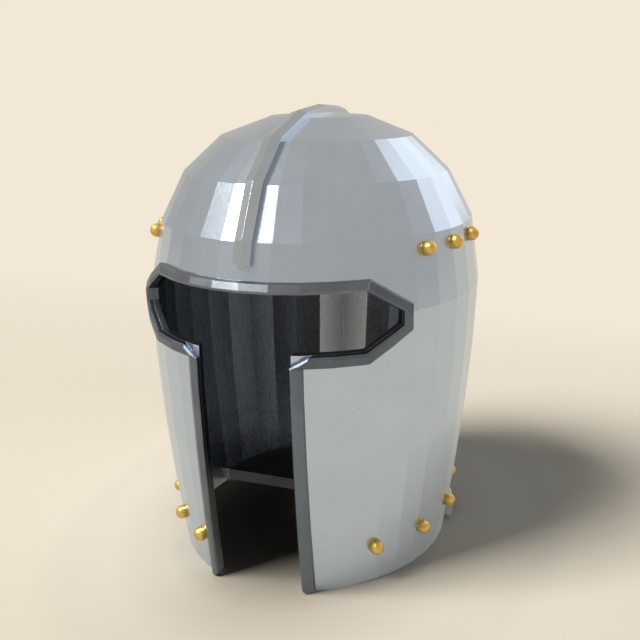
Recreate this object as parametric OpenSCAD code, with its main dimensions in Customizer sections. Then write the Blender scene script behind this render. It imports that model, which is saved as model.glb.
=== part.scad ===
// Barbute: a one-piece steel helmet with a T-shaped face opening, a raised comb, a dark border
// round the opening, brass rivets, a leather lining and a flanged plate under the nape.
// The face looks along -Y, +X is the wearer's left, and Z = 0 is the surface it stands on.
// The origin is the middle of the helmet's footprint.

/* [Skull] */
// Width of the skull at its widest, over the ears
skull_width = 210; // [190:1:230]
// Reach of the widest course in front of the ears
face_depth = 109.5; // [100:0.5:118]
// Reach of the widest course behind the ears
nape_depth = 134; // [122:1:142]
// Height of the steel crown above the rim, without the comb
skull_height = 281; // [272:1:300]
// Height at which the skull is widest
widest_height = 175; // [168:1:182]
// Width across the rim
rim_width = 178; // [170:1:200]
// How much further back the rim sits than the widest course
rim_tuck = 2; // [0:0.5:4]
// How far back of the ears the crown has its peak
crown_setback = 17; // [5:1:25]
// How much narrower the face is than the nape, as a share of the width
face_taper = 0.10; // [0:0.01:0.15]
// Thickness of the steel at the sides
wall = 3; // [2:0.25:4]
// How much thicker the steel is over the face
face_extra = 1; // [0:0.25:1.5]
// How far the rim is cut up behind the ears, to clear the shoulders
nape_rise = 10; // [8:0.5:16]

/* [Face opening] */
// Height of the top edge of the eye slot
eye_top = 189.5; // [186:0.5:192]
// Height of the bottom edge of the eye slot
eye_bottom = 156; // [150:0.5:160]
// Angle round the skull at which the eye slot starts to narrow
eye_shoulder = 41.5; // [36:0.5:44]
// Angle round the skull at which the eye slot ends
eye_end = 54; // [52:0.5:58]
// Fall from the shoulder of the slot to its blunt end
eye_drop = 13; // [10:0.5:14]
// Width of the slot between the cheeks
face_slot = 56; // [45:1:62]
// Blunting of the lower inner corner of each cheek
tip_chamfer = 3; // [1:0.5:4]

/* [Border] */
// Width of the border strip
border_width = 6.4; // [5:0.2:8]
// Thickness of the border strip
border_thickness = 4; // [2.5:0.25:5]
// Chamfer along both edges of the border strip
border_chamfer = 1.1; // [0.5:0.1:1.5]
// How far the border cuts across each cheek corner, sideways
corner_cut = 11; // [8:0.5:13]

/* [Comb] */
// Width of the comb
comb_width = 10.4; // [8:0.2:14]
// Height of the comb's upright sides
comb_side = 3; // [2:0.25:4]
// Height of the comb's ridge
comb_height = 4.8; // [4.4:0.2:8]
// Height at which the comb ends over the brow
comb_brow_end = 204.5; // [200:0.5:212]
// Height at which the comb ends over the nape
comb_nape_end = 46; // [40:1:80]

/* [Rivets] */
// Radius of a rivet's head
head_radius = 4.4; // [3.5:0.1:5]
// Height of a rivet's head, which is nearly a whole ball
head_height = 6.4; // [5:0.1:7]
// Radius of a rivet's shank
shank_radius = 2; // [1.5:0.1:2.4]
// Clearance round a shank
shank_fit = 0.1; // [0.05:0.05:0.2]
// Depth of the flat that is filed for each head
head_seat = 0.45; // [0.3:0.05:0.6]
// Radius of the washers inside
washer_radius = 4.5; // [4:0.25:5]
// Thickness of the washers inside
washer_thickness = 1; // [0.8:0.1:1.5]
// Height of the upper row
brow_row = 208; // [205:0.5:211]
// Angle round the skull of the first rivet in the upper row
brow_row_start = 65.5; // [62:0.5:70]
// Angle between neighbours in the upper row
brow_step = 15.3; // [14:0.1:17]
// Height of the lower row
rim_row = 25.5; // [25:0.5:34]
// Angle round the skull of the first rivet in the lower row
rim_row_start = 49.3; // [46:0.1:52]
// Angle of the one rivet beside the edge of the right cheek
cheek_rivet = 29; // [28.5:0.5:31]

/* [Lining] */
// Height of the leather lining band
band_height = 22; // [18:1:26]
// Thickness of the lining leather
leather = 2; // [1.5:0.25:2.5]
// Thickness of the drawstring
lace_thickness = 3; // [2:0.25:4]
// Radius of the gap that the drawstring closes
crown_gap = 24; // [18:1:30]

/* [Nape plate] */
// How far behind the ears the turned-down front edge of the plate lies
bar_setback = 38.5; // [36:0.5:42]
// Thickness of the turned-down edge
bar_thickness = 3; // [2:0.25:4]
// Clear height under the turned-down edge
bar_lift = 1.5; // [1:0.25:2]
// Thickness of the plate behind it
plate_thickness = 2; // [1.5:0.25:3]
// How far the plate stands out past the wall
plate_lip = 5; // [3.5:0.25:6]
// Width of the lugs that are turned up outside the wall
lug_width = 9; // [7:0.5:12]
// Height of the top of the lugs
lug_top = 15.5; // [15:0.5:19]
// Thickness of the lugs
lug_thickness = 2.5; // [2:0.25:3.5]
// Radius of the pins that hold the lugs
pin_radius = 1.2; // [1:0.1:1.4]
// How far the head of a pin stands out round its shank
pin_brim = 0.9; // [0.7:0.1:1.2]

/* [Hidden] */
$fn = 32;

// The skull is hammered in flat facets: this many round it, on courses from the rim to the crown
facets = 36;
skirt_courses = 4;
skirt_belly = 1.7;
dome_roundness = 0.79;
// Slope angle of each dome course, with how far back it sits as a share of the crown's setback
dome_courses = [[0, 0], [22.8, 0.24], [41.6, 0.25], [60.3, 0.43], [78, 0.89]];
touch = 0.2;
seat_gap = 0.5;
far = 400;
// How far cutters and cut forms run past the rim
overrun = 5;
// Least run of the comb between its end and the next course
comb_run = 5;
half_width = skull_width / 2;
face_ratio = face_depth / half_width;
nape_ratio = nape_depth / half_width;
dome_rise = skull_height - widest_height;
bore_radius = shank_radius + shank_fit;

// Half width of the skirt at a share t of the way from the rim up to the widest course
function skirt_half(t) = half_width - (skull_width - rim_width) / 2 * pow(1 - t, skirt_belly);

// Courses of the skull's surface moved outwards by d: height, half width and setback of each
function skirt_list(d) = [
    for (i = [0 : skirt_courses - 1])
        let (t = i / skirt_courses)
            [t * widest_height, skirt_half(t) + d, rim_tuck * pow(1 - t, skirt_belly)]];
function dome_list(d) = [
    for (c = dome_courses)
        [widest_height + (dome_rise + d) * sin(c[0]),
         (half_width + d) * pow(cos(c[0]), dome_roundness),
         crown_setback * c[1]]];
function course_list(d) = concat(skirt_list(d), dome_list(d));

// Half width and setback of the surface at height z
function half_at(z, d) = lookup(z, [for (c = course_list(d)) [c[0], c[1]]]);
function setback_at(z, d) = lookup(z, [for (c = course_list(d)) [c[0], c[2]]]);

// The footprint's middle is the origin, so the skull's own middle moves by this much
front_height =
    eye_top + border_chamfer + (eye_top - eye_bottom) / 2 * border_thickness / face_depth;
front_reach = face_ratio * half_at(front_height, border_thickness) - setback_at(front_height, 0);
back_reach = nape_ratio * (half_width + comb_height);
middle = (front_reach - back_reach) / 2;

// A point of a course at an angle round the skull, where 0 is the middle of the face
function plan_point(half, setback, angle, z) = [
    half * sin(angle) * (1 - face_taper * cos(angle)),
    middle + setback - half * (cos(angle) >= 0 ? face_ratio : nape_ratio) * cos(angle),
    z];
function skin(angle, z, d = 0, setback = 0) =
    plan_point(half_at(z, d), setback_at(z, d) + setback, angle, z);
function unit(v) = v / norm(v);
function skin_out(angle, z) =
    unit(cross(skin(angle + 1, z) - skin(angle - 1, z), skin(angle, z + 1) - skin(angle, z - 1)));
// Depth below the surface, along its normal, of the form moved inwards by d
function depth_at(angle, z, d) =
    (skin(angle, z) - skin(angle, z, -d, face_extra)) * skin_out(angle, z);
function steel_at(angle, z) = depth_at(angle, z, wall);

// Solid through a row of like sections, each a closed loop of points
module sweep(sections) {
    loop = len(sections[0]);
    last = len(sections) - 1;
    skins = [
        for (i = [0 : last - 1])
            for (k = [0 : loop - 1])
                let (a = loop * i + k, b = loop * i + (k + 1) % loop)
                    each [[a, a + loop, b + loop], [a, b + loop, b]]];
    ends = [[for (k = [0 : loop - 1]) k], [for (k = [loop - 1 : -1 : 0]) loop * last + k]];
    polyhedron([for (s = sections) each s], concat(skins, ends));
}

// Solid form of the skull, moved outwards by d, set back by setback, carried down by drop
module skull_form(d = 0, setback = 0, drop = 0) {
    base = course_list(d);
    courses = drop > 0 ? concat([[-drop, base[0][1], base[0][2]]], base) : base;
    rows = len(courses);
    ring_points = [
        for (c = courses)
            for (i = [0 : facets - 1])
                plan_point(c[1], c[2] + setback, i * 360 / facets, c[0])];
    peak = [0, middle + crown_setback + setback, skull_height + d];
    sides = [
        for (r = [0 : rows - 2])
            for (i = [0 : facets - 1])
                let (j = (i + 1) % facets)
                    [r * facets + i, (r + 1) * facets + i, (r + 1) * facets + j, r * facets + j]];
    crown = [
        for (i = [0 : facets - 1])
            [(rows - 1) * facets + i, rows * facets, (rows - 1) * facets + (i + 1) % facets]];
    polyhedron(concat(ring_points, [peak]), concat([[for (i = [0 : facets - 1]) i]], sides, crown));
}

// Places its children on the skull at an angle and height, with +Z pointing out of the steel
module on_skin(angle, z) {
    out = skin_out(angle, z);
    side = unit(cross([0, 0, 1], out));
    up = cross(out, side);
    p = skin(angle, z);
    multmatrix([
        [side[0], up[0], out[0], p[0]],
        [side[1], up[1], out[1], p[1]],
        [side[2], up[2], out[2], p[2]],
        [0, 0, 0, 1]])
        children();
}

// Pushes an outline drawn in the X-Z plane through the front half of the helmet
module through_face() {
    rotate([90, 0, 0]) linear_extrude(far) children();
}

// The eye slot is set out by angle round the skull and height, at distance o outside its edge
function arc_angle(o) = o / face_depth * 180 / PI;
eye_slope = atan(eye_drop / ((eye_end - eye_shoulder) * PI / 180 * face_depth));
function shoulder_at(o) = eye_shoulder + arc_angle(o * tan(eye_slope / 2));
function end_at(o) = eye_end + arc_angle(o);
function end_drop(o) = eye_drop + o - o * (1 / cos(eye_slope) - tan(eye_slope));
function slot_drop(angle, o) =
    lookup(abs(angle), [[0, 0], [shoulder_at(o), 0], [end_at(o), end_drop(o)]]);

// Cutter for the eye slot: a fan of rays from the middle of the head, so that its walls are flat.
// It runs from a share of the way out to the skull's surface, at offset o, to one beyond it
eye_middle = (eye_top + eye_bottom) / 2;
head_middle = [0, middle, eye_middle];
facet = 360 / facets;
function ray(angle, z, share) = head_middle + (skin(angle, z) - head_middle) * share;
function fan_angles(o) =
    let (half_angles = [shoulder_at(o), 5 * facet, end_at(o)])
        concat(
            [for (k = [2 : -1 : 0]) -half_angles[k]],
            [for (k = [-4 : 4]) k * facet],
            half_angles);
function slot_low(angle, o) = eye_bottom - o + slot_drop(angle, o);
function slot_high(angle, o) = eye_top + o - slot_drop(angle, o);
module eye_cutter(o, inside = 0.6, outside = 1.2, outer_o = undef) {
    p = is_undef(outer_o) ? o : outer_o;
    inner = fan_angles(o);
    outer = fan_angles(p);
    sweep([
        for (i = [0 : len(inner) - 1])
            let (a = inner[i], b = outer[i]) [
                ray(b, slot_low(b, p), outside),
                ray(a, slot_low(a, o), inside),
                ray(a, slot_high(a, o), inside),
                ray(b, slot_high(b, p), outside)]]);
}

// The same with walls at 45 degrees, which meet the border's outer surface at offset o and widen
// inwards (way = 1) or outwards (way = -1)
module eye_chamfer(o, way) {
    reach = face_depth / 20;
    share = reach / face_depth;
    eye_cutter(
        o + way * border_thickness, 1, 1 + share, o + way * (border_thickness - reach));
}

// Below it the face slot is a plain upright slot
function mirrored(points) = concat(
    points, [for (i = [len(points) - 1 : -1 : 0]) [-points[i][0], points[i][1]]]);
slot_half = face_slot / 2;

module face_opening() {
    eye_cutter(0);
    through_face() polygon(mirrored([
        [slot_half, eye_middle],
        [slot_half, tip_chamfer],
        [slot_half + tip_chamfer, 0],
        [slot_half + tip_chamfer, -far / 8]]));
}

// The border's inner edge follows the opening, but cuts across the corner of each cheek
module border_region() {
    difference() {
        union() {
            eye_cutter(border_width);
            through_face() polygon(mirrored([
                [slot_half + border_width, eye_middle],
                [slot_half + border_width, -far / 8]]));
        }
        face_opening();
        through_face() polygon(mirrored([
            corner_top + [0, 1],
            corner_top,
            corner_foot]));
    }
}
corner_top = [slot_half + corner_cut, eye_bottom];
corner_foot = [slot_half, eye_bottom - border_width];

// Line of the surface moved outwards by d, at x to one side of the face, up to the cheek's corner
function front_y(x, z, d) =
    lookup(x, [for (k = [-5 : 5]) let (p = skin(k * facet, z, d)) [p[0], p[1]]]);
cheek_heights = concat(
    [0], [for (c = skirt_list(0)) if (c[0] > 0 && c[0] < eye_bottom) c[0]], [eye_bottom]);

// Section of the wedge that cuts a chamfer at point p of an edge, where way points into the steel
function wedge(p, way, drop = 0) =
    let (
        m = border_thickness / 2,
        y = front_y(p[0], p[1], border_thickness),
        out = p - way * m,
        in = p + way * (border_chamfer + m),
        back = [out[0], y + border_chamfer + m, out[1] - drop],
        far_side = [in[0], y - m, in[1] - drop],
        front = [out[0], y - m, out[1] - drop])
        way[0] > 0 ? [back, front, far_side] : [back, far_side, front];

// Wedge along the upright edge at x, and the one along the cut across a cheek's corner
module upright_chamfer(x, way) {
    rows = [for (z = cheek_heights) wedge([x, z], [way, 0])];
    sweep(concat([wedge([x, 0], [way, 0], overrun)], rows));
}
module corner_chamfer() {
    run = corner_top - corner_foot;
    way = unit([run[1], -run[0]]);
    sweep([for (t = [-0.4, 0.2, 1.4]) wedge(corner_foot + run * t, way)]);
}

// Steel strip laid on the outside of the skull, inside the outline given as child, with a chamfer
// along each of its edges
module border_strip() {
    color("dimgray")
        difference() {
            intersection() {
                difference() {
                    skull_form(border_thickness);
                    skull_form(0);
                }
                border_region();
                through_face() children();
                union() {
                    eye_chamfer(border_width - border_chamfer, 1);
                    difference() {
                        translate([-slot_half - border_width, -far, -overrun])
                            cube([face_slot + 2 * border_width, far, eye_bottom + overrun]);
                        for (side = [-1, 1])
                            upright_chamfer(side * (slot_half + border_width), -side);
                    }
                }
            }
            eye_chamfer(border_chamfer, -1);
            for (side = [-1, 1])
                upright_chamfer(side * slot_half, side);
            corner_chamfer();
            mirror([1, 0, 0]) corner_chamfer();
        }
}

// The border is mitred at the shoulders of the eye slot and cut level just under the cheek corners
function shoulder_point(o) =
    [plan_point(half_width, 0, shoulder_at(o), 0)[0], eye_top + o];
mitre_inner = shoulder_point(0);
mitre_outer = shoulder_point(border_width);
mitre_run = (mitre_outer - mitre_inner) * 3;
cheek_cut = eye_bottom - border_width - 1;

module brow_border() {
    border_strip() polygon(mirrored([
        mitre_inner + mitre_run,
        mitre_inner,
        mitre_inner - mitre_run]));
}

module eye_border(side) {
    border_strip() scale([side, 1]) polygon([
        mitre_inner + mitre_run,
        mitre_inner - mitre_run,
        [0, mitre_inner[1] - mitre_run[1]],
        [0, cheek_cut],
        [far / 2, cheek_cut],
        [far / 2, mitre_inner[1] + mitre_run[1]]]);
}

module cheek_border(side) {
    border_strip() scale([side, 1]) translate([0, -far / 8]) square([far / 2, cheek_cut + far / 8]);
}

// Comb: one strip over the middle of the skull, from the brow across the crown to the nape
function comb_line(d) =
    let (
        courses = course_list(d),
        up = [for (c = courses) if (c[0] > comb_brow_end + comb_run) plan_point(c[1], c[2], 0, c[0])],
        down = [
            for (i = [len(courses) - 1 : -1 : 0])
                let (c = courses[i])
                    if (c[0] > comb_nape_end + comb_run) plan_point(c[1], c[2], 180, c[0])])
        concat(
            [skin(0, comb_brow_end, d)],
            up,
            [[0, middle + crown_setback, skull_height + d]],
            down,
            [skin(180, comb_nape_end, d)]);

module comb() {
    foot = comb_line(-1);
    shoulder = comb_line(comb_side);
    ridge = comb_line(comb_height);
    half = comb_width / 2;
    color("lightsteelblue")
        difference() {
            sweep([
                for (i = [0 : len(foot) - 1]) [
                    foot[i] - [half, 0, 0],
                    shoulder[i] - [half, 0, 0],
                    ridge[i],
                    shoulder[i] + [half, 0, 0],
                    foot[i] + [half, 0, 0]]]);
            skull_form(0);
        }
}

// Angles of the rivets: the upper row has three at each temple and three on each side of the
// comb at the back, and the lower row goes all round
brow_group = 3;
rim_pairs = 6;
rim_step = (180 - rim_row_start) / (rim_pairs - 0.5);
brow_angles = [
    for (side = [-1, 1])
        for (i = [0 : brow_group - 1])
            each [side * (brow_row_start + i * brow_step), side * (180 - (i + 1) * brow_step)]];
rim_angles = concat(
    [for (side = [-1, 1])
        for (i = [0 : rim_pairs - 1]) side * (rim_row_start + i * rim_step)],
    [-cheek_rivet]);

// The bar's lugs are pinned through the wall, half way across their width
pin_height = nape_rise + pin_radius + pin_brim;
bar_y = middle + bar_setback;
plate_top = nape_rise - touch;
pin_cosine = (bar_setback + lug_width / 2) / (nape_ratio * half_at(pin_height, 0));
pin_angle = 180 - acos(pin_cosine);

// Depth from the outer surface to the washer of each upper rivet, which lies on the leather where
// the leather reaches furthest in under it
washer_arc = washer_radius / half_width * 180 / PI;
function brow_depth(angle) =
    touch + max([
        for (i = [-1 : 1])
            for (k = [-1 : 1])
                (skin(angle, brow_row) - skin(
                    angle + i * washer_arc, brow_row + k * washer_radius,
                    -wall - touch - leather, face_extra)) * skin_out(angle, brow_row)]);

// Domed head on a shank: the head's foot is at height seat, the shank's end at height -depth
module rivet(head, height, shank, seat, depth) {
    ball = height < head ? (head * head + height * height) / (2 * height) : head;
    rotate_extrude() {
        translate([0, seat]) intersection() {
            translate([0, height - ball]) circle(ball);
            square([ball, height]);
        }
        translate([0, -depth]) square([shank, seat + depth]);
    }
}

// Hammered tail: a flare that fills a countersink, flush with the inside of the wall
flare = 1;
module flush_tail(shank, depth, fit) {
    translate([0, 0, -depth]) cylinder(r1 = shank + flare + fit, r2 = shank + fit, h = flare);
}

module washer(depth) {
    translate([0, 0, -depth - washer_thickness]) difference() {
        cylinder(r = washer_radius, h = washer_thickness);
        translate([0, 0, -1]) cylinder(r = bore_radius, h = washer_thickness + 2);
    }
}

// Bore through the wall, with the flat that is filed for a ball head
foot_radius = sqrt(pow(head_radius, 2) - pow(head_height - head_radius, 2)) + shank_fit;
module bore(radius) {
    translate([0, 0, -far / 20]) cylinder(r = radius, h = far / 10);
}

module head_flat() {
    translate([0, 0, -head_seat]) cylinder(r = foot_radius, h = far / 40);
}

module brow_rivets() {
    tail = 0.7 * head_radius;
    color("goldenrod")
        for (a = brow_angles)
            on_skin(a, brow_row) {
                end = brow_depth(a) + 2 * washer_thickness;
                rivet(head_radius, head_height, shank_radius, -head_seat, end);
                translate([0, 0, -end]) cylinder(r = tail, h = washer_thickness);
            }
}

module brow_washers() {
    color("darkgoldenrod") for (a = brow_angles) on_skin(a, brow_row) washer(brow_depth(a));
}

module rim_rivets() {
    color("goldenrod")
        for (a = rim_angles)
            on_skin(a, rim_row) {
                rivet(head_radius, head_height, shank_radius, -head_seat, steel_at(a, rim_row));
                flush_tail(shank_radius, steel_at(a, rim_row), 0);
            }
}

// Flat plate under the raised part of the rim. Its front edge is turned down across the neck, it
// stands out all round the nape, and lugs at its two ends are turned up outside the wall
module lug_shell() {
    difference() {
        skull_form(touch + lug_thickness, 0, overrun);
        skull_form(touch, 0, overrun + 1);
    }
}

module nape_bar() {
    color("dimgray")
        difference() {
            union() {
                intersection() {
                    skull_form(plate_lip, 0, overrun);
                    union() {
                        translate([-far / 2, bar_y, bar_lift])
                            cube([far, bar_thickness, plate_top - bar_lift]);
                        translate([-far / 2, bar_y, plate_top - plate_thickness])
                            cube([far, far, plate_thickness]);
                    }
                }
                intersection() {
                    lug_shell();
                    translate([-far / 2, bar_y, bar_lift])
                        cube([far, lug_width, lug_top - bar_lift]);
                }
            }
            for (side = [-1, 1]) on_skin(side * pin_angle, pin_height) bore(pin_radius + shank_fit);
        }
}

module bar_pins() {
    pin_head_height = 1.2;
    color("dimgray")
        for (side = [-1, 1])
            on_skin(side * pin_angle, pin_height) {
                depth = steel_at(side * pin_angle, pin_height);
                rivet(pin_radius + pin_brim, pin_head_height, pin_radius, touch + lug_thickness, depth);
                flush_tail(pin_radius, depth, 0);
            }
}

module skull_shell() {
    color("lightsteelblue")
        difference() {
            skull_form(0);
            skull_form(-wall, face_extra, overrun);
            face_opening();
            translate([-far / 2, bar_y - touch, -1]) cube([far, far, nape_rise + 1]);
            for (a = brow_angles)
                on_skin(a, brow_row) {
                    bore(bore_radius);
                    head_flat();
                }
            for (a = rim_angles)
                on_skin(a, rim_row) {
                    bore(bore_radius);
                    head_flat();
                    flush_tail(shank_radius, steel_at(a, rim_row) + touch, shank_fit + touch);
                }
            for (side = [-1, 1])
                on_skin(side * pin_angle, pin_height) {
                    bore(pin_radius + shank_fit);
                    flush_tail(
                        pin_radius, steel_at(side * pin_angle, pin_height) + touch, shank_fit + touch);
                }
        }
}

// Leather band inside the upper row, all round the head
module lining_band() {
    color("saddlebrown")
        difference() {
            intersection() {
                skull_form(-wall - touch, face_extra);
                translate([-far / 2, -far / 2, brow_row - band_height / 2])
                    cube([far, far, band_height]);
            }
            skull_form(-wall - touch - leather, face_extra, overrun);
            for (a = brow_angles) on_skin(a, brow_row) bore(bore_radius);
        }
}

// Leather tongues sewn to the band's upper half, drawn together under the crown
tongues = 8;
tongue_points = 4;
foot_margin = 1.5;
tongue_foot = brow_row + washer_radius + foot_margin;
tongue_depth = wall + touch + leather + seat_gap;
// Each station up a tongue: height, extra gap to the steel, share of the full sector that it fills
tongue_stations = [
    [tongue_foot, 0, 0.92],
    [dome_list(-tongue_depth)[2][0], 3, 0.9],
    [dome_list(-tongue_depth)[3][0], 8, 0.84]];
crown_room = 11;
crown_station = dome_list(-tongue_depth)[4][0] - crown_room;

module liner_tongue(index) {
    middle_angle = (index - 0.5) * 360 / tongues;
    function spread(k, share) =
        middle_angle + (k / tongue_points - 0.5) * 360 / tongues * share;
    function side_points(extra) = concat(
        [for (s = tongue_stations)
            for (k = [0 : tongue_points])
                skin(spread(k, s[2]), s[0], -tongue_depth - s[1] - extra, face_extra)],
        [for (k = [0 : tongue_points])
            let (a = spread(k, 0.7), r = crown_gap + lace_thickness / 2 + touch)
                [r * sin(a), middle + crown_setback / 2 - r * cos(a), crown_station - extra]]);
    rows = len(tongue_stations) + 1;
    width = tongue_points + 1;
    count = rows * width;
    outer = [for (r = [0 : rows - 2]) for (k = [0 : tongue_points - 1])
        let (a = r * width + k) each [[a, a + width, a + 1], [a + 1, a + width, a + width + 1]]];
    inner = [for (f = outer) [f[0] + count, f[2] + count, f[1] + count]];
    rims = [
        for (k = [0 : tongue_points - 1]) each [
            [k, k + 1, k + 1 + count],
            [k, k + 1 + count, k + count]],
        for (k = [0 : tongue_points - 1])
            let (a = (rows - 1) * width + k) each [
                [a, a + 1 + count, a + 1],
                [a, a + count, a + 1 + count]],
        for (r = [0 : rows - 2])
            let (a = r * width, b = a + tongue_points) each [
                [a, a + count, a + width + count],
                [a, a + width + count, a + width],
                [b, b + width + count, b + count],
                [b, b + width, b + width + count]]];
    color("peru")
        polyhedron(concat(side_points(0), side_points(leather)), concat(outer, inner, rims));
}

// Leather lace that gathers the tips of the tongues
module crown_lace() {
    color("tan")
        translate([0, middle + crown_setback / 2, crown_station - leather / 2])
            rotate_extrude() translate([crown_gap, 0]) circle(lace_thickness / 2, $fn = 16);
}

skull_shell();
comb();
brow_border();
eye_border(1);  // left_eye_border
eye_border(-1);  // right_eye_border
cheek_border(1);  // left_cheek_border
cheek_border(-1);  // right_cheek_border
brow_rivets();
brow_washers();
lining_band();
liner_tongue(1);  // liner_tongue_1
liner_tongue(2);  // liner_tongue_2
liner_tongue(3);  // liner_tongue_3
liner_tongue(4);  // liner_tongue_4
liner_tongue(5);  // liner_tongue_5
liner_tongue(6);  // liner_tongue_6
liner_tongue(7);  // liner_tongue_7
liner_tongue(8);  // liner_tongue_8
crown_lace();
rim_rivets();
nape_bar();
bar_pins();
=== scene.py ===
import math

import bmesh
import bpy
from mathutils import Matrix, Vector
from mathutils.bvhtree import BVHTree


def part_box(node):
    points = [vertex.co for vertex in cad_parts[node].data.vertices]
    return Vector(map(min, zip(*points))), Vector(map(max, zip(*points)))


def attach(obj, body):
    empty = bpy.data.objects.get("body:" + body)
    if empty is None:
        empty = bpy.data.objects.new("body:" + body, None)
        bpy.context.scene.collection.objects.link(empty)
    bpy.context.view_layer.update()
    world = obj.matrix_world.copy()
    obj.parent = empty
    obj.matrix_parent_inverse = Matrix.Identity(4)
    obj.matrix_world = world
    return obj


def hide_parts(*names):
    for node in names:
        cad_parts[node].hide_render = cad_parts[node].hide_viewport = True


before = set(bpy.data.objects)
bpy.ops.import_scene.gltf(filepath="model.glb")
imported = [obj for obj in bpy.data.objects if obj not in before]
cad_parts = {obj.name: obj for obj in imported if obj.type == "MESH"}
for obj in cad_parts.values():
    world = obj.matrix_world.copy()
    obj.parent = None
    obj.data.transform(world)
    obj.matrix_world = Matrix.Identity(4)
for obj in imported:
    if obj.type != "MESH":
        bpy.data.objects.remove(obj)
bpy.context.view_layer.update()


# ---- Camera -------------------------------------------------------------------------------------
# It stands a little to the wearer's left of the face and looks slightly down on the crown.
# It is half a metre off, so that the near cheek is drawn larger than the far one.
eye_place = Vector((0.2019, -0.5466, 0.3037))
eye_target = Vector((0.0061, -0.0127, 0.1468))
camera = bpy.data.objects.new("camera", bpy.data.cameras.new("camera"))
camera.data.lens = 50
camera.data.sensor_width = 36
camera.location = eye_place
camera.rotation_mode = "QUATERNION"
camera.rotation_quaternion = (eye_target - eye_place).to_track_quat("-Z", "Y")
bpy.context.scene.collection.objects.link(camera)
bpy.context.scene.camera = camera


# ---- Skull --------------------------------------------------------------------------------------
# One bowl of steel, raised from a single sheet and planished in flat facets from crown to rim.
# Outside it is polished, with fine rubbing marks. Inside it is bare and duller. The walls of
# the face opening carry painted shade: those that do not look up are painted black.
def new_finish(name):
    """A material, its node tree and its surface shader."""
    finish = bpy.data.materials.new(name)
    finish.use_nodes = True
    return finish, finish.node_tree, finish.node_tree.nodes["Principled BSDF"]


def add(tree, kind, inputs=(), **settings):
    """A node of that kind. Each input is a value, or the socket that feeds it."""
    made = tree.nodes.new(kind)
    for key, value in settings.items():
        setattr(made, key, value)
    for key, value in dict(inputs).items():
        if isinstance(value, bpy.types.NodeSocket):
            tree.links.new(value, made.inputs[key])
        else:
            made.inputs[key].default_value = value
    return made


def blotches(tree, size, detail=3.0, stretch=(1, 1, 1), turn=(0, 0, 0)):
    """Soft noise whose patches are about that size in metres, drawn out along an axis."""
    place = add(tree, "ShaderNodeTexCoord").outputs["Object"]
    mapped = add(tree, "ShaderNodeMapping", {"Vector": place, "Rotation": turn, "Scale": stretch})
    return add(tree, "ShaderNodeTexNoise", {
        "Vector": mapped.outputs[0], "Scale": 1 / size, "Detail": detail}).outputs["Fac"]


def graded(tree, value, *stops):
    """A colour ramp with those (place, grey or colour) stops."""
    ramp = add(tree, "ShaderNodeValToRGB", {"Fac": value})
    while len(ramp.color_ramp.elements) < len(stops):
        ramp.color_ramp.elements.new(0.5)
    for element, (place, tone) in zip(ramp.color_ramp.elements, stops):
        element.position = place
        element.color = (*tone, 1) if isinstance(tone, tuple) else (tone, tone, tone, 1)
    return ramp.outputs["Color"]


def blend_colours(tree, share, first, second, how="MIX"):
    """Two colours, each a value or a socket, blended by share."""
    made = add(tree, "ShaderNodeMix", data_type="RGBA", blend_type=how)
    share_socket, first_socket, second_socket = (made.inputs[i] for i in (0, 6, 7))
    for socket, value in ((share_socket, share), (first_socket, first), (second_socket, second)):
        if isinstance(value, bpy.types.NodeSocket):
            tree.links.new(value, socket)
        else:
            socket.default_value = (*value, 1) if isinstance(value, tuple) else value
    return made.outputs[2]


def number(tree, how, first, second=0.0, third=0.0):
    """One sum on numbers or sockets."""
    made = add(tree, "ShaderNodeMath", operation=how)
    for socket, value in zip(made.inputs, (first, second, third)):
        if isinstance(value, bpy.types.NodeSocket):
            tree.links.new(value, socket)
        else:
            socket.default_value = value
    return made.outputs[0]


def worn_edge(tree, radius):
    """White on edges that hands and cloth have rubbed, black on the flats between them."""
    rounded = add(tree, "ShaderNodeBevel", {"Radius": radius}, samples=4).outputs[0]
    flat = add(tree, "ShaderNodeNewGeometry").outputs["Normal"]
    turn = add(tree, "ShaderNodeVectorMath", {0: rounded, 1: flat}, operation="DOT_PRODUCT")
    return graded(tree, turn.outputs["Value"], (0.86, 1.0), (0.995, 0.0))


def raised(tree, height, distance, strength=1.0, edge=0.0004):
    """A surface normal with that relief, on edges that are rounded off by that radius in metres."""
    rounded = add(tree, "ShaderNodeBevel", {"Radius": edge}, samples=4).outputs[0]
    return add(tree, "ShaderNodeBump", {
        "Height": height, "Distance": distance, "Strength": strength, "Normal": rounded}).outputs[0]


def outward_turn(tree, middle):
    """How far a face looks out from the head: 1 straight out, 0 sideways, -1 straight in."""
    place = add(tree, "ShaderNodeTexCoord").outputs["Object"]
    away = add(tree, "ShaderNodeVectorMath", {0: place, 1: middle}, operation="SUBTRACT")
    away = add(tree, "ShaderNodeVectorMath", {0: away.outputs[0]}, operation="NORMALIZE")
    faces = add(tree, "ShaderNodeNewGeometry").outputs["True Normal"]
    turn = add(tree, "ShaderNodeVectorMath", {
        0: away.outputs[0], 1: faces}, operation="DOT_PRODUCT")
    return turn.outputs["Value"]


# Painted shade: walls of the face opening that face sideways or down are painted this colour.
wall_shade_colour = (0.10, 0.115, 0.125)
wall_turn = 0.42
upward_turn = 0.5


def painted_wall_shade(tree, outward, tone):
    """That tone with painted shade: black on the walls of the face opening, apart from those that
    look up.
    """
    faces = add(tree, "ShaderNodeNewGeometry").outputs["True Normal"]
    upward = add(tree, "ShaderNodeSeparateXYZ", {0: faces}).outputs["Z"]
    sideways = number(tree, "COMPARE", outward, 0.0, wall_turn)
    wall = number(tree, "MULTIPLY", sideways, number(tree, "LESS_THAN", upward, upward_turn))
    return blend_colours(tree, wall, tone, wall_shade_colour)


pit_colour = (0.16, 0.14, 0.12)
inner_dark, inner_light = (0.425, 0.472, 0.53), (0.47, 0.52, 0.58)
inner_brown = (0.30, 0.27, 0.25)
inner_turn = -0.45
dents_per_metre = 110.0
relief_depth = 0.0007


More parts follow.
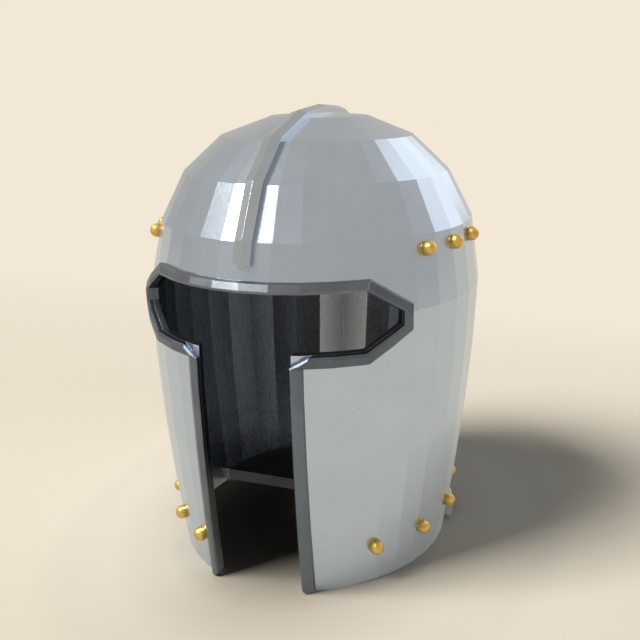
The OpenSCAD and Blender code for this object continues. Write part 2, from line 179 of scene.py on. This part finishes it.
def polished_steel(name, colour, head_middle, opening=False, edge=0.0004):
    """Bright steel outside, duller steel on the faces that look in at the head."""
    finish, tree, shader = new_finish(name)
    outward = outward_turn(tree, head_middle)
    inside = number(tree, "LESS_THAN", outward, inner_turn)
    cloud = blotches(tree, 0.05, 4)
    grain = blotches(tree, 0.0016, 2, (1, 1, 0.12))
    hairs = blotches(tree, 0.0009, 2, (0.06, 1, 1), (0.5, 0.9, 0.3))
    pits = graded(tree, blotches(tree, 0.004, 5), (0.68, 0.0), (0.74, 1.0))
    wear = worn_edge(tree, 0.0011)
    dull = tuple(c * 0.94 for c in colour)
    bright = tuple(min(1, c * 1.25) for c in colour)
    outer = blend_colours(tree, graded(tree, cloud, (0.35, 0.0), (0.65, 1.0)), dull, colour)
    outer = blend_colours(tree, number(tree, "MULTIPLY", pits, 0.14), outer, pit_colour)
    outer = blend_colours(tree, number(tree, "MULTIPLY", wear, 0.5), outer, bright)
    # Painted shade on the walls of the face opening.
    if opening:
        outer = painted_wall_shade(tree, outward, outer)
    brown = graded(tree, blotches(tree, 0.012, 4), (0.6, 0.0), (0.8, 0.12))
    patches = graded(tree, blotches(tree, 0.03, 4), (0.3, 0.0), (0.7, 1.0))
    inner = blend_colours(tree, patches, inner_dark, inner_light)
    inner = blend_colours(tree, brown, inner, inner_brown)
    tree.links.new(blend_colours(tree, inside, outer, inner), shader.inputs["Base Color"])
    shine = number(tree, "MULTIPLY_ADD", grain, 0.08, 0.14)
    shine = number(tree, "MULTIPLY_ADD", cloud, 0.08, shine)
    shine = number(tree, "MULTIPLY_ADD", hairs, 0.05, shine)
    rough = number(tree, "MULTIPLY_ADD", inside, 0.03, shine)
    tree.links.new(rough, shader.inputs["Roughness"])
    shader.inputs["Metallic"].default_value = 1.0
    dents = add(tree, "ShaderNodeTexVoronoi", {
        "Vector": add(tree, "ShaderNodeTexCoord").outputs["Object"], "Scale": dents_per_metre,
        "Smoothness": 0.6}, feature="SMOOTH_F1").outputs["Distance"]
    hammered = number(tree, "MULTIPLY", number(tree, "MULTIPLY", dents, inside), 0.012)
    relief = number(tree, "MULTIPLY_ADD", grain, 0.012, hammered)
    relief = number(tree, "MULTIPLY_ADD", hairs, 0.01, relief)
    relief = number(tree, "MULTIPLY_ADD", pits, -0.03, relief)
    tree.links.new(raised(tree, relief, relief_depth, 1.0, edge), shader.inputs["Normal"])
    return finish


def finish_node(name, finish):
    """Gives a CAD node that finish."""
    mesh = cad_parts[name].data
    mesh.materials.clear()
    mesh.materials.append(finish)


skull_low, skull_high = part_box("skull_shell")
head_height = 0.15
head_middle = (0.0, (skull_low.y + skull_high.y) / 2, head_height)
steel_colour = (0.50, 0.585, 0.70)
finish_node("skull_shell", polished_steel("skull_steel", steel_colour, head_middle, opening=True))


# ---- Comb ---------------------------------------------------------------------------------------
# A raised keel over the middle of the skull, from the brow across the crown to the nape.
# It is polished with the skull, and its ridge is the first place to be rubbed bright. Its
# colour is the skull's steel painted a little darker and less blue, as painted shade.
comb_shaded_colour = (0.475, 0.53, 0.60)
finish_node("comb", polished_steel("comb_steel", comb_shaded_colour, head_middle, edge=0.0002))


# ---- Border of the face opening -----------------------------------------------------------------
# Five lengths of blackened strip, mitred at the shoulders of the eye slot, that stiffen the edge.
# The black has gone from the corners, where the steel under it shines.
bare_steel = (0.36, 0.40, 0.45)
border_depth = 0.0006


def blackened_steel(name, colour, lean=0.0, roughness=0.22, painted_light_at=None):
    """Steel blackened in oil, rubbed through on its edges. A lean tips its faces up a little."""
    finish, tree, shader = new_finish(name)
    cloud = blotches(tree, 0.018, 5)
    strokes = blotches(tree, 0.0013, 2, (1, 1, 0.15), (0.2, 0.4, 0))
    wear = worn_edge(tree, 0.0009)
    rubbed = graded(tree, blotches(tree, 0.007, 4), (0.38, 0.1), (0.6, 0.8))
    patchy = number(tree, "MULTIPLY", wear, rubbed)
    dark = tuple(c * 0.82 for c in colour)
    tone = blend_colours(tree, graded(tree, cloud, (0.35, 0.0), (0.66, 1.0)), dark, colour)
    tone = blend_colours(tree, number(tree, "MULTIPLY", patchy, 0.35), tone, bare_steel)
    # Painted light: the skull's bright steel colour is painted in where that mask is white.
    if painted_light_at:
        tone = blend_colours(tree, painted_light_at(tree), tone, steel_colour)
    tree.links.new(tone, shader.inputs["Base Color"])
    rough = number(tree, "MULTIPLY_ADD", strokes, 0.14, roughness)
    rough = number(tree, "MULTIPLY_ADD", cloud, 0.12, rough)
    tree.links.new(rough, shader.inputs["Roughness"])
    shader.inputs["Metallic"].default_value = 1.0
    relief = number(tree, "MULTIPLY_ADD", strokes, 0.06, number(tree, "MULTIPLY", cloud, 0.25))
    place = add(tree, "ShaderNodeTexCoord").outputs["Object"]
    upright = add(tree, "ShaderNodeSeparateXYZ", {0: place}).outputs["Z"]
    relief = number(tree, "MULTIPLY_ADD", upright, -lean / border_depth, relief)
    tree.links.new(raised(tree, relief, border_depth), shader.inputs["Normal"])
    return finish


border_colour = (0.16, 0.191, 0.232)
border_finish = blackened_steel("border_steel", border_colour)
for piece in ("left_cheek_border", "right_cheek_border"):
    finish_node(piece, border_finish)

# Painted shade: the eye borders are the same blackened strip, painted darker.
eye_border_shade_colour = (0.13, 0.158, 0.195)
eye_border_shade_finish = blackened_steel("eye_border_shaded_steel", eye_border_shade_colour)
for piece in ("left_eye_border", "right_eye_border"):
    finish_node(piece, eye_border_shade_finish)

# Painted light: the brow border is the same strip painted lighter, so that its highlight is
# brighter.
brow_lit_colour = (0.185, 0.212, 0.245)
brow_lean = 0.24
finish_node("brow_border", blackened_steel("brow_border_lit_steel", brow_lit_colour, lean=brow_lean))


# ---- Rivets and washers -------------------------------------------------------------------------
# Ball-headed brass rivets. The upper ones clench the leather lining over washers inside, and the
# ones along the rim are hammered flush inside, where the tails are rubbed grey with the wall.
tail_colour = (0.42, 0.43, 0.43)
tail_turn = -0.85
flats_per_metre = 520.0


def hammered_brass(name, colour, roughness):
    """Brass with the small flats of a hammer, browned where nothing rubs it."""
    finish, tree, shader = new_finish(name)
    place = add(tree, "ShaderNodeTexCoord").outputs["Object"]
    flats = add(tree, "ShaderNodeTexVoronoi", {
        "Vector": place, "Scale": flats_per_metre}, feature="F1")
    tarnish = graded(tree, blotches(tree, 0.0035, 5), (0.4, 0.0), (0.68, 1.0))
    brown = tuple(c * k for c, k in zip(colour, (0.62, 0.5, 0.4)))
    tone = blend_colours(tree, number(tree, "MULTIPLY", tarnish, 0.6), colour, brown)
    level = add(tree, "ShaderNodeVectorMath", {0: place, 1: (1, 1, 0)}, operation="MULTIPLY")
    level = add(tree, "ShaderNodeVectorMath", {0: level.outputs[0]}, operation="NORMALIZE")
    faces = add(tree, "ShaderNodeNewGeometry").outputs["True Normal"]
    turn = add(tree, "ShaderNodeVectorMath", {
        0: level.outputs[0], 1: faces}, operation="DOT_PRODUCT")
    clenched = number(tree, "LESS_THAN", turn.outputs["Value"], tail_turn)
    tone = blend_colours(tree, clenched, tone, tail_colour)
    tree.links.new(tone, shader.inputs["Base Color"])
    rough = number(tree, "MULTIPLY_ADD", tarnish, 0.2, roughness)
    tree.links.new(rough, shader.inputs["Roughness"])
    shader.inputs["Metallic"].default_value = 1.0
    grains = blotches(tree, 0.0006, 2)
    relief = number(tree, "MULTIPLY_ADD", grains, 0.05, flats.outputs["Distance"])
    tree.links.new(raised(tree, relief, 0.0005, 0.6), shader.inputs["Normal"])
    return finish


rivet_colour = (0.76, 0.52, 0.15)
washer_colour = (0.55, 0.38, 0.12)
rivet_finish = hammered_brass("rivet_brass", rivet_colour, 0.34)
for piece in ("brow_rivets", "rim_rivets"):
    finish_node(piece, rivet_finish)
finish_node("brow_washers", hammered_brass("washer_brass", washer_colour, 0.4))


# ---- Nape plate and its pins --------------------------------------------------------------------
# A flat plate under the raised part of the rim, with its front edge turned down across the neck
# and two lugs turned up outside the wall, each held by a pin. Inside the wall it is painted dark,
# as painted shade, and where it stands out past the wall it is painted in the skull's bright
# steel, as painted light.
half_inner_width, half_inner_length = 0.084, 0.108


def lit_past_wall(tree):
    """White outside the wall's plan at the rim, where light is painted on, black inside it."""
    place = add(tree, "ShaderNodeTexCoord").outputs["Object"]
    plan = add(tree, "ShaderNodeVectorMath", {0: place, 1: head_middle}, operation="SUBTRACT")
    plan = add(tree, "ShaderNodeVectorMath", {
        0: plan.outputs[0], 1: (1 / half_inner_width, 1 / half_inner_length, 0)},
        operation="MULTIPLY")
    plan = add(tree, "ShaderNodeVectorMath", {0: plan.outputs[0]}, operation="LENGTH")
    return number(tree, "GREATER_THAN", plan.outputs["Value"], 1.0)


# Painted shade: inside the wall the plate is painted this dark.
plate_shade_colour = (0.23, 0.25, 0.275)
plate_finish = blackened_steel(
    "plate_steel", plate_shade_colour, roughness=0.32, painted_light_at=lit_past_wall)
for piece in ("nape_bar", "bar_pins"):
    finish_node(piece, plate_finish)


# ---- Leather band of the lining -----------------------------------------------------------------
# A strap of vegetable-tanned leather round the inside, flesh side to the steel. The upper rivets
# hold it, and it puckers a little between them. Both its edges are rounded and burnished.
def tanned_leather(name, pale, deep, grain_size):
    """Leather with a pebbled grain, darker where it is handled, and creased, with painted shade in
    the creases.
    """
    finish, tree, shader = new_finish(name)
    place = add(tree, "ShaderNodeTexCoord").outputs["Object"]
    cloud = blotches(tree, 0.03, 5)
    pebbles = add(tree, "ShaderNodeTexVoronoi", {
        "Vector": place, "Scale": 1 / grain_size, "Randomness": 0.95},
        feature="F1").outputs["Distance"]
    folds = blotches(tree, 0.006, 6, (1, 1, 0.35))
    creases = graded(tree, folds, (0.46, 0.0), (0.5, 1.0), (0.54, 0.0))
    tone = blend_colours(tree, graded(tree, cloud, (0.35, 0.0), (0.68, 1.0)), deep, pale)
    shade = tuple(c * 0.45 for c in deep)
    # Painted shade in the creases.
    tone = blend_colours(tree, number(tree, "MULTIPLY", creases, 0.35), tone, shade)
    wear = worn_edge(tree, 0.0008)
    tone = blend_colours(tree, number(tree, "MULTIPLY", wear, 0.5), tone, shade)
    tree.links.new(tone, shader.inputs["Base Color"])
    rough = number(tree, "MULTIPLY_ADD", cloud, 0.25, 0.42)
    tree.links.new(rough, shader.inputs["Roughness"])
    relief = number(tree, "MULTIPLY_ADD", creases, -0.5, number(tree, "MULTIPLY", pebbles, 0.7))
    tree.links.new(raised(tree, relief, 0.0004, 0.8, 0.0003), shader.inputs["Normal"])
    shader.inputs["Sheen Weight"].default_value = 0.08
    return finish


def surface_of(name):
    """A CAD node's surface, to cast rays at."""
    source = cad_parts[name].data
    source.calc_loop_triangles()
    return BVHTree.FromPolygons(
        [v.co.copy() for v in source.vertices], [tuple(t.vertices) for t in source.loop_triangles])


def out_from_axis(surface, axis_y, angle, height):
    """The first point of that surface outwards from the upright axis, at an angle from the face.

    A ray along an edge between two faces can miss both, so it is then cast again just beside it.
    """
    way = Vector((math.sin(angle), -math.cos(angle), 0))
    centre = Vector((0, axis_y, height))
    for slip in (0.0, 0.0004, -0.0004, 0.0011):
        aim = Vector((math.sin(angle + slip), -math.cos(angle + slip), 0))
        hit = surface.ray_cast(centre, aim)[0]
        if hit:
            break
    return centre + way * (hit - centre).length, way


def finished_piece(name, verts, faces, finish, smooth=True, rounds=0):
    """A mesh piece that rides on the helmet, with its faces turned outwards."""
    mesh = bpy.data.meshes.new(name)
    mesh.from_pydata([tuple(v) for v in verts], [], faces)
    mesh.validate()
    work = bmesh.new()
    work.from_mesh(mesh)
    bmesh.ops.remove_doubles(work, verts=work.verts, dist=1e-6)
    bmesh.ops.recalc_face_normals(work, faces=work.faces)
    work.to_mesh(mesh)
    work.free()
    mesh.materials.append(finish)
    mesh.polygons.foreach_set("use_smooth", [smooth] * len(mesh.polygons))
    piece = bpy.data.objects.new(name, mesh)
    bpy.context.scene.collection.objects.link(piece)
    if rounds:
        finer = piece.modifiers.new("rounding", "SUBSURF")
        finer.levels = finer.render_levels = rounds
    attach(piece, "root")
    return piece


def loft(rings, closed_path=False):
    """Vertices and faces of a skin through rings of as many points each."""
    count = len(rings[0])
    verts = [p for ring in rings for p in ring]
    faces = []
    for i in range(len(rings) if closed_path else len(rings) - 1):
        j = (i + 1) % len(rings)
        for k in range(count):
            n = (k + 1) % count
            faces.append((i * count + k, j * count + k, j * count + n, i * count + n))
    if not closed_path:
        faces.append(tuple(range(count)))
        faces.append(tuple(range((len(rings) - 1) * count, len(rings) * count)))
    return verts, faces


leather_pale, leather_deep = (0.30, 0.165, 0.085), (0.20, 0.10, 0.048)
leather_grain = 0.0011
leather_finish = tanned_leather("lining_leather", leather_pale, leather_deep, leather_grain)
band_low, band_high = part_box("lining_band")
axis_y = (band_low.y + band_high.y) / 2
band_surface = surface_of("lining_band")
band_thickness = 0.0017
band_margin = 0.0005
band_seat = 0.00015
band_steps = 288
pucker_lift = 0.0007
held_arc, rise_arc = 0.06, 0.07
upper_rivets = (65.5, 80.8, 96.1, 134.1, 149.4, 164.7)
rivet_angles = [math.radians(side * angle) for side in (-1, 1) for angle in upper_rivets]


def pucker(angle):
    """How far the strap stands off between two rivets: 0 at a rivet, 1 well away from any."""
    near = min(abs(math.atan2(math.sin(angle - a), math.cos(angle - a))) for a in rivet_angles)
    free = min(1.0, max(0.0, (near - held_arc) / rise_arc))
    return free * free * (3 - 2 * free)


def band_section(angle):
    """The strap's section there: a flat loop with round edges."""
    low, high = band_low.z + band_margin, band_high.z - band_margin
    half = band_thickness / 2
    up_the_strap = (0.0, 0.1, 0.3, 0.7, 0.9, 1.0)
    ring = []
    for side, shares in ((1, up_the_strap), (-1, reversed(up_the_strap))):
        for share in shares:
            height = low + (high - low) * share
            hit, way = out_from_axis(band_surface, axis_y, angle, height)
            lift = pucker_lift * pucker(angle) * (0.6 + 0.4 * math.sin(9 * angle + 5 * share))
            edge = 0.45 if share in (0.0, 1.0) else 1.0
            middle = hit + way * (half + band_seat) - way * lift
            ring.append(middle + way * side * half * edge)
    return ring


band = finished_piece("lining_strap", *loft(
    [band_section(2 * math.pi * i / band_steps) for i in range(band_steps)], closed_path=True),
    leather_finish, rounds=1)
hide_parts("lining_band")


# ---- Tongues of the lining ----------------------------------------------------------------------
# Eight tongues of thinner leather are sewn to the strap and lean in over the head. The tip of
# each is folded over the lace and sewn down, which makes the loop that the lace runs in.
tongue_thickness = 0.0016
tongue_gap = 0.0003
tongue_across = 12
tongue_along = 22
tongue_arc = math.radians(22.5)
foot_share, tip_share = 0.9, 0.62
foot_lift = 0.0006
fold_turns, fold_degrees = 7, 215
flap_steps, flap_step, flap_drop = 3, 0.0022, 0.0002
lace_low, lace_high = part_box("crown_lace")
lace_middle = (lace_low + lace_high) / 2
lace_radius = (lace_high.z - lace_low.z) / 2
lace_ring = (lace_high.x - lace_low.x) / 2 - lace_radius
wall_surface = surface_of("skull_shell")


def tongue_line(angle, tip_angle, sway):
    """A line up the middle of the leather: from the strap, along the wall, and round the lace."""
    foot_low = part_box("liner_tongue_1")[0].z + foot_lift
    foot, way = out_from_axis(band_surface, axis_y, angle, foot_low)
    foot = foot - way * (tongue_gap + tongue_thickness / 2)
    wall_foot, _ = out_from_axis(wall_surface, axis_y, angle, foot_low)
    wall_next, _ = out_from_axis(wall_surface, axis_y, angle, foot_low + 0.006)
    climb = (wall_next - wall_foot).normalized()
    outwards = Vector((math.sin(tip_angle), -math.cos(tip_angle), 0))
    eyelet = Vector((0, lace_middle.y, lace_middle.z)) + outwards * lace_ring
    loop = lace_radius + tongue_gap + tongue_thickness / 2
    tip = eyelet + Vector((0, 0, loop))
    reach = (tip - foot).length
    first = foot + climb * reach * 0.42
    last = tip + (outwards * 0.97 + Vector((0, 0, 0.04))) * reach * 0.34
    line = []
    for i in range(tongue_along + 1):
        t = i / tongue_along
        a, b, c, d = (1 - t) ** 3, 3 * t * (1 - t) ** 2, 3 * t * t * (1 - t), t ** 3
        point = foot * a + first * b + last * c + tip * d
        point = point - way * sway * math.sin(math.pi * t)
        line.append(point)
    for i in range(1, fold_turns + 1):
        turn = math.radians(i * fold_degrees / fold_turns)
        above = Vector((0, 0, loop)) * math.cos(turn)
        line.append(eyelet + above - outwards * loop * math.sin(turn))
    under = line[-1]
    for i in range(1, flap_steps + 1):
        line.append(under + outwards * flap_step * i + Vector((0, 0, -flap_drop * i)))
    return line


def tongue_lines(index):
    """The lines up one tongue, side by side from one edge to the other."""
    middle_angle = (index - 0.5) * math.pi / 4
    lines = []
    for k in range(tongue_across + 1):
        share = 2 * k / tongue_across - 1
        foot_angle = middle_angle + share * tongue_arc * foot_share
        tip_angle = middle_angle + share * tongue_arc * tip_share
        curl = 0.0011 * (1 - share * share) + 0.0004 * math.sin(5 * share + index)
        lines.append(tongue_line(foot_angle, tip_angle, curl))
    return lines


def tongue(index):
    """One tongue, as a sheet with its thickness and rounded rims."""
    lines = tongue_lines(index)
    rows = len(lines[0])
    width = tongue_across + 1
    verts, faces = [], []
    for side in (1, -1):
        for r in range(rows):
            for k in range(width):
                here = lines[k][r]
                up = lines[k][min(r + 1, rows - 1)] - lines[k][max(r - 1, 0)]
                across = lines[min(k + 1, width - 1)][r] - lines[max(k - 1, 0)][r]
                out = up.cross(across).normalized()
                rim = 0.5 if k in (0, width - 1) or r in (0, rows - 1) else 1.0
                verts.append(here + out * side * rim * tongue_thickness / 2)
    count = rows * width
    for r in range(rows - 1):
        for k in range(width - 1):
            a = r * width + k
            faces.append((a, a + 1, a + width + 1, a + width))
            faces.append((count + a, count + a + width, count + a + width + 1, count + a + 1))
    outline = list(range(width))
    outline += [r * width + width - 1 for r in range(1, rows)]
    outline += [(rows - 1) * width + k for k in range(width - 2, -1, -1)]
    outline += [r * width for r in range(rows - 2, 0, -1)]
    for i, a in enumerate(outline):
        b = outline[(i + 1) % len(outline)]
        faces.append((a, b, count + b, count + a))
    piece = finished_piece(f"lining_tongue_{index}", verts, faces, leather_finish, rounds=1)
    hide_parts(f"liner_tongue_{index}")


for index in range(1, 9):
    tongue(index)


# ---- Stitches -----------------------------------------------------------------------------------
# Waxed linen thread: one row sews the tongues to the strap, one binds the strap's lower edge.
# Each stitch is a short swelling that sinks into the leather at both ends.
plies_per_metre = 900.0


def waxed_thread(name, colour):
    """Twisted thread with a trace of wax."""
    finish, tree, shader = new_finish(name)
    ply = add(tree, "ShaderNodeTexWave", {
        "Vector": add(tree, "ShaderNodeTexCoord").outputs["Object"], "Scale": plies_per_metre,
        "Distortion": 1.5}, bands_direction="DIAGONAL").outputs["Fac"]
    shade = tuple(c * 0.6 for c in colour)
    tree.links.new(blend_colours(tree, ply, shade, colour), shader.inputs["Base Color"])
    tree.links.new(number(tree, "MULTIPLY_ADD", ply, 0.2, 0.5), shader.inputs["Roughness"])
    tree.links.new(raised(tree, ply, 0.0002, 0.7, 0.0002), shader.inputs["Normal"])
    return finish


def stitch_tree(finish):
    """Nodes that lay one stitch after another along a line."""
    tree = bpy.data.node_groups.new("stitch_row", "GeometryNodeTree")
    tree.interface.new_socket("Geometry", in_out="INPUT", socket_type="NodeSocketGeometry")
    for name in ("Spacing", "Length", "Thickness"):
        tree.interface.new_socket(name, in_out="INPUT", socket_type="NodeSocketFloat")
    tree.interface.new_socket("Geometry", in_out="OUTPUT", socket_type="NodeSocketGeometry")
    start, end = tree.nodes.new("NodeGroupInput"), tree.nodes.new("NodeGroupOutput")
    to_curve = add(tree, "GeometryNodeMeshToCurve", {"Mesh": start.outputs["Geometry"]})
    places = add(tree, "GeometryNodeCurveToPoints", {
        "Curve": to_curve.outputs[0], "Length": start.outputs["Spacing"]}, mode="LENGTH")
    bead = add(tree, "GeometryNodeMeshUVSphere", {"Segments": 6, "Rings": 5, "Radius": 0.5})
    thickness, length = start.outputs["Thickness"], start.outputs["Length"]
    size = add(tree, "ShaderNodeCombineXYZ", {"X": thickness, "Y": thickness, "Z": length})
    bead = add(tree, "GeometryNodeTransform", {
        "Geometry": bead.outputs[0], "Scale": size.outputs[0]})
    row = add(tree, "GeometryNodeInstanceOnPoints", {
        "Points": places.outputs["Points"], "Instance": bead.outputs[0],
        "Rotation": places.outputs["Rotation"]})
    whole = add(tree, "GeometryNodeRealizeInstances", {"Geometry": row.outputs[0]})
    smooth = add(tree, "GeometryNodeSetShadeSmooth", {"Geometry": whole.outputs[0]})
    dressed = add(tree, "GeometryNodeSetMaterial", {
        "Geometry": smooth.outputs[0], "Material": finish})
    tree.links.new(dressed.outputs[0], end.inputs[0])
    return tree


def stitch_row(name, points, closed, spacing, length, thickness, tree):
    """A row of stitches along those points, turned into a plain mesh."""
    line = bpy.data.meshes.new(name + "_line")
    count = len(points)
    edges = [(i, (i + 1) % count) for i in range(count if closed else count - 1)]
    line.from_pydata([tuple(p) for p in points], edges, [])
    carrier = bpy.data.objects.new(name + "_line", line)
    bpy.context.scene.collection.objects.link(carrier)
    rule = carrier.modifiers.new("row", "NODES")
    rule.node_group = tree
    ids = {s.name: s.identifier for s in tree.interface.items_tree if s.in_out == "INPUT"}
    rule[ids["Spacing"]] = spacing
    rule[ids["Length"]] = length
    rule[ids["Thickness"]] = thickness
    depsgraph = bpy.context.evaluated_depsgraph_get()
    mesh = bpy.data.meshes.new_from_object(carrier.evaluated_get(depsgraph), depsgraph=depsgraph)
    mesh.name = name
    bpy.data.objects.remove(carrier)
    piece = bpy.data.objects.new(name, mesh)
    bpy.context.scene.collection.objects.link(piece)
    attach(piece, "root")


thread_colour = (0.55, 0.47, 0.33)
thread_row = stitch_tree(waxed_thread("linen_thread", thread_colour))
thread_thickness = 0.0009
edge_height, edge_spacing, edge_length = 0.003, 0.0042, 0.0030
foot_height, foot_spacing, foot_length = 0.0027, 0.0040, 0.0029


def around_strap(height, lift):
    """Points on the strap's inner face at that height, lifted off it a little."""
    points = []
    for i in range(band_steps):
        angle = 2 * math.pi * i / band_steps
        hit, way = out_from_axis(band_surface, axis_y, angle, height)
        points.append(hit - way * (lift + pucker_lift * pucker(angle) * 0.6))
    return points


def across_foot(index, height):
    """Points across the inner face of a tongue's foot at that height."""
    points = []
    for line in tongue_lines(index)[1:-1]:
        upper = next(i for i, point in enumerate(line) if point.z > height)
        low, high = line[upper - 1], line[upper]
        middle = low.lerp(high, (height - low.z) / (high.z - low.z))
        inwards = Vector((-middle.x, axis_y - middle.y, 0)).normalized()
        points.append(middle + inwards * (tongue_thickness / 2 + 0.0001))
    return points


stitch_row("strap_edge_stitches", around_strap(band_low.z + edge_height, -0.0001), True,
           edge_spacing, edge_length, thread_thickness, thread_row)
for index in range(1, 9):
    stitch_row(f"tongue_stitches_{index}", across_foot(index, band_high.z - foot_height), False,
               foot_spacing, foot_length, thread_thickness, thread_row)


# ---- Lace ---------------------------------------------------------------------------------------
# A waxed thong runs through the loops of all eight tongues and draws them together. Its ends are
# tied at the back in one knot, so that the wearer can set how deep the helmet sits.
def tube(points, radii, closed, sides=10):
    """Rings round a path, each square to it."""
    rings = []
    count = len(points)
    side = Vector((0, 0, 1))
    for i, point in enumerate(points):
        before = points[i - 1] if closed or i else point
        after = points[(i + 1) % count] if closed or i < count - 1 else point
        along = (after - before).normalized()
        side = (side - along * side.dot(along)).normalized()
        other = along.cross(side)
        rings.append([
            point + (side * math.cos(t) + other * math.sin(t)) * radii[i]
            for t in (2 * math.pi * k / sides for k in range(sides))])
    return loft(rings, closed)


def lace_point(angle):
    """A point on the lace's circle."""
    return Vector((
        math.sin(angle) * lace_ring, lace_middle.y - math.cos(angle) * lace_ring, lace_middle.z))


lace_pale, lace_deep = (0.42, 0.30, 0.17), (0.30, 0.20, 0.11)
lace_grain = 0.0008
lace_finish = tanned_leather("lace_leather", lace_pale, lace_deep, lace_grain)
lace_steps = 200
lace_path = [lace_point(2 * math.pi * i / lace_steps) for i in range(lace_steps)]
lace_radii = [
    lace_radius * (0.86 + 0.06 * math.sin(38 * math.pi * i / lace_steps))
    for i in range(lace_steps)]
lace = finished_piece("gathering_lace", *tube(lace_path, lace_radii, True), lace_finish)
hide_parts("crown_lace")

knot_middle = lace_point(math.pi)
knot_steps, end_steps = 72, 14
end_radius = 0.0012
knot_path = [
    knot_middle + Vector((
        0.0036 * (math.sin(t) + 0.55 * math.sin(2 * t)),
        0.0034 * (math.cos(t) - 0.55 * math.cos(2 * t)),
        -0.0014 * math.sin(3 * t)))
    for t in (2 * math.pi * i / knot_steps for i in range(knot_steps))]
knot = finished_piece(
    "lace_knot", *tube(knot_path, [end_radius] * knot_steps, True, 8), lace_finish)
for name, lean in (("lace_end_left", 1), ("lace_end_right", -1)):
    end_path = [
        knot_middle + Vector((lean * (0.002 + 0.012 * t), -0.004 * t, -0.002 - 0.022 * t * t))
        for t in (i / end_steps for i in range(end_steps + 1))]
    end_radii = [end_radius * (1 - 0.35 * (i / end_steps) ** 3) for i in range(end_steps + 1)]
    end = finished_piece(name, *tube(end_path, end_radii, False, 8), lace_finish)


# ---- Floor and light ----------------------------------------------------------------------------
# A pale floor that runs into the backdrop, with painted shade under and round the helmet. Near
# the helmet, reflections see it glow with the backdrop's colour: a painted reflection. A large
# soft lamp stands in front on the wearer's right, and a weak panel behind on the left shines on
# the back of the skull.
paper_colour = (0.862, 0.801, 0.682)
backdrop_colour = (0.888, 0.807, 0.665)
paper, tree, shader = new_finish("paper")
place = add(tree, "ShaderNodeTexCoord").outputs["Object"]
distance = add(tree, "ShaderNodeVectorMath", {0: place}, operation="LENGTH").outputs["Value"]
depth = add(tree, "ShaderNodeSeparateXYZ", {0: place}).outputs["Y"]
far_off = number(tree, "MAXIMUM", graded(tree, distance, (0.5, 0.0), (1.0, 1.0)),
                 graded(tree, depth, (0.16, 0.0), (0.6, 1.0)))
# Painted reflection: near the helmet the floor glows with the backdrop's colour in glossy rays.
painted_reflection_glow = graded(tree, distance, (0.06, 0.2), (0.28, 0.95))
fibres = blotches(tree, 0.004, 4)
fibre_colour = (0.7, 0.62, 0.5)
sheet = blend_colours(tree, number(tree, "MULTIPLY", fibres, 0.06), paper_colour, fibre_colour)
# Painted shade: the floor is painted darker under and round the helmet's rim.
half_rim_width, half_rim_length = 0.088, 0.118
footprint = add(tree, "ShaderNodeMapping", {
    "Vector": place, "Scale": (1 / half_rim_width, 1 / half_rim_length, 1)})
footprint = add(tree, "ShaderNodeVectorMath", {0: footprint.outputs[0]}, operation="LENGTH")
painted_shade_under_helmet = graded(
    tree, number(tree, "MULTIPLY", footprint.outputs["Value"], 0.5), (0.25, 0.2), (0.375, 0.33),
    (0.49, 0.63), (0.56, 0.77), (0.75, 0.93), (0.9, 0.95), (1.0, 1.0))
tree.links.new(blend_colours(tree, 1.0, sheet, painted_shade_under_helmet, "MULTIPLY"), shader.inputs["Base Color"])
shader.inputs["Roughness"].default_value = 0.9
shader.inputs["Specular IOR Level"].default_value = 0.1
glow = add(tree, "ShaderNodeEmission", {"Color": (*backdrop_colour, 1), "Strength": 1.0})
rays = add(tree, "ShaderNodeLightPath").outputs
glossy = number(tree, "MAXIMUM", rays["Is Glossy Ray"], rays["Is Transmission Ray"])
share = number(tree, "MULTIPLY", painted_reflection_glow, glossy)
share = number(tree, "MULTIPLY_ADD", far_off, rays["Is Camera Ray"], share)
mixed = add(tree, "ShaderNodeMixShader", {0: share, 1: shader.outputs[0], 2: glow.outputs[0]})
tree.links.new(mixed.outputs[0], tree.nodes["Material Output"].inputs["Surface"])
floor_mesh = bpy.data.meshes.new("floor")
reach = 12.0
floor_corners = [(-reach, -reach, 0), (reach, -reach, 0), (reach, reach, 0), (-reach, reach, 0)]
floor_mesh.from_pydata(floor_corners, [], [(0, 1, 2, 3)])
floor_mesh.materials.append(paper)
floor = bpy.data.objects.new("floor", floor_mesh)
bpy.context.scene.collection.objects.link(floor)

world = bpy.data.worlds.new("room")
bpy.context.scene.world = world
world.use_nodes = True
room = world.node_tree
surface = room.nodes["Background"]
rays = add(room, "ShaderNodeLightPath")
shown = number(room, "MAXIMUM", rays.outputs["Is Camera Ray"], rays.outputs["Is Glossy Ray"])
shown = number(room, "MAXIMUM", shown, rays.outputs["Is Transmission Ray"])
room_colour = (0.645, 0.595, 0.525)
mirrored = blend_colours(room, rays.outputs["Is Glossy Ray"], backdrop_colour, room_colour)
room_light = (0.05, 0.05, 0.051)
room.links.new(blend_colours(room, shown, room_light, mirrored), surface.inputs["Color"])
surface.inputs["Strength"].default_value = 1.0


lamps_aim = Vector((0, 0, 0.15))


def lamp(name, way, distance, width, height, power, colour):
    """A soft lamp that stands off from the helmet in that direction and faces it."""
    light = bpy.data.lights.new(name, "AREA")
    light.shape = "RECTANGLE"
    light.size, light.size_y = width, height
    light.energy = power
    light.color = colour
    made = bpy.data.objects.new(name, light)
    towards = Vector(way).normalized()
    made.location = lamps_aim + towards * distance
    made.rotation_mode = "QUATERNION"
    made.rotation_quaternion = (-towards).to_track_quat("-Z", "Y")
    bpy.context.scene.collection.objects.link(made)


lamp("key", way=(-0.475, -0.445, 0.757), distance=5.0, width=2.0, height=2.0,
     power=285, colour=(1.0, 0.955, 0.90))
lamp("back_panel", way=(0.44, 0.795, 0.465), distance=1.8, width=1.5, height=1.35,
     power=5.8, colour=(0.94, 0.97, 1.0))

bpy.context.scene.view_settings.view_transform = "Standard"
